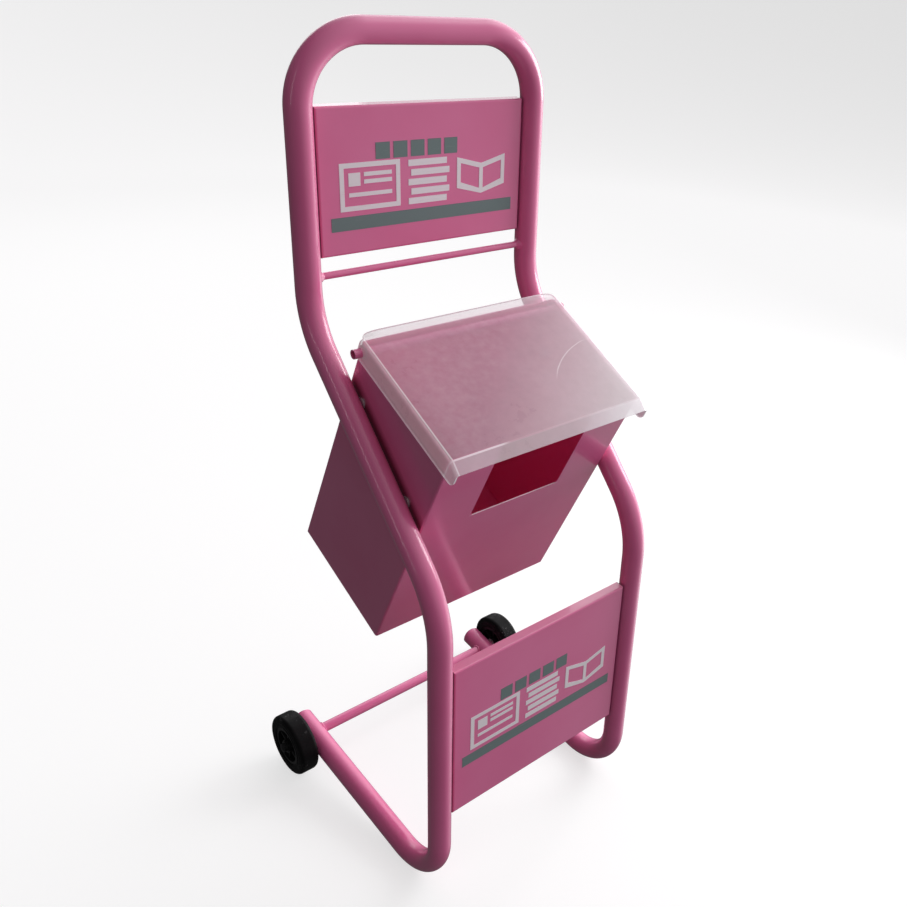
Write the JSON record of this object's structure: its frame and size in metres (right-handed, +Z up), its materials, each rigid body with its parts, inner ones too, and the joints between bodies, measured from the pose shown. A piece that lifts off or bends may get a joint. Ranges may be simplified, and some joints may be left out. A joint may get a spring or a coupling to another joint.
{
  "type": "newspaper rack",
  "caption": "Free-standing pink tubular newspaper rack with a tilted sheet-metal bin under a hinged clear lid, shallow sign trays above and below, and rear wheels for rolling.",
  "frame": {"origin": "on the floor, under the middle of the rack's bounding box", "axes": "+X to the right for someone facing the rack's front, +Y to the rear, +Z up"},
  "size_m": [0.4542, 0.4095, 1.138],
  "materials": {
    "pink_powder_coat": "glossy powder coat on steel",
    "clear_lid": "clear, lightly scratched and a little hazy",
    "pale_film": "printed adhesive film",
    "grey_film": "printed adhesive film",
    "zinc_plate": "zinc plated",
    "nylon": "natural nylon",
    "tyre_rubber": "smooth moulded rubber",
    "hub_plastic": "moulded, slightly shiny"
  },
  "bodies": {
    "rack": {"runner_left": "pink_powder_coat", "runner_right": "pink_powder_coat", "floor_bend_left": "pink_powder_coat", "floor_bend_right": "pink_powder_coat", "leg_left": "pink_powder_coat", "leg_right": "pink_powder_coat", "knee_bend_left": "pink_powder_coat", "knee_bend_right": "pink_powder_coat", "diagonal_left": "pink_powder_coat", "diagonal_right": "pink_powder_coat", "upper_bend_left": "pink_powder_coat", "upper_bend_right": "pink_powder_coat", "upright_left": "pink_powder_coat", "upright_right": "pink_powder_coat", "arch_corner_left": "pink_powder_coat", "arch_corner_right": "pink_powder_coat", "arch": "pink_powder_coat", "runner_cap_left": "pink_powder_coat", "runner_cap_right": "pink_powder_coat", "cross_rod": "pink_powder_coat", "cross_rod_welds": "pink_powder_coat", "upper_sign": "pink_powder_coat", "lower_sign": "pink_powder_coat", "upper_sign_tacks": "pink_powder_coat", "lower_sign_tacks": "pink_powder_coat", "upper_print_band": "grey_film", "upper_print_icons": "pale_film", "lower_print_band": "grey_film", "lower_print_icons": "pale_film", "bin_front": "pink_powder_coat", "bin_rear": "pink_powder_coat", "bin_side_left": "pink_powder_coat", "bin_side_right": "pink_powder_coat", "bin_floor": "pink_powder_coat", "bolt_left_front": "zinc_plate", "bolt_left_rear": "zinc_plate", "bolt_right_front": "zinc_plate", "bolt_right_rear": "zinc_plate", "spacer_left_front": "zinc_plate", "spacer_left_rear": "zinc_plate", "spacer_right_front": "zinc_plate", "spacer_right_rear": "zinc_plate", "nut_left_front": "zinc_plate", "nut_left_rear": "zinc_plate", "nut_right_front": "zinc_plate", "nut_right_rear": "zinc_plate", "hinge_tube": "pink_powder_coat", "hinge_washer_left": "nylon", "hinge_washer_right": "nylon", "axle": "zinc_plate", "axle_sleeve": "pink_powder_coat", "axle_washer_left": "zinc_plate", "axle_washer_right": "zinc_plate", "axle_cap_left": "hub_plastic", "axle_cap_right": "hub_plastic"},
    "lid": {"lid": "clear_lid"},
    "wheel_left": {"tyre_left": "tyre_rubber", "hub_left": "hub_plastic"},
    "wheel_right": {"tyre_right": "tyre_rubber", "hub_right": "hub_plastic"}
  },
  "joints": [
    {"name": "lid_hinge", "type": "hinge", "parent": "rack", "child": "lid", "pos_m": [0, -0.0044, 0.77056], "axis": [-1, 0, 0], "range_deg": [0, 105]},
    {"name": "wheel_left_spin", "type": "hinge", "parent": "rack", "child": "wheel_left", "pos_m": [-0.2038, 0.15475, 0.05], "axis": [1, 0, 0], "continuous": true},
    {"name": "wheel_right_spin", "type": "hinge", "parent": "rack", "child": "wheel_right", "pos_m": [0.2038, 0.15475, 0.05], "axis": [1, 0, 0], "continuous": true}
  ]
}
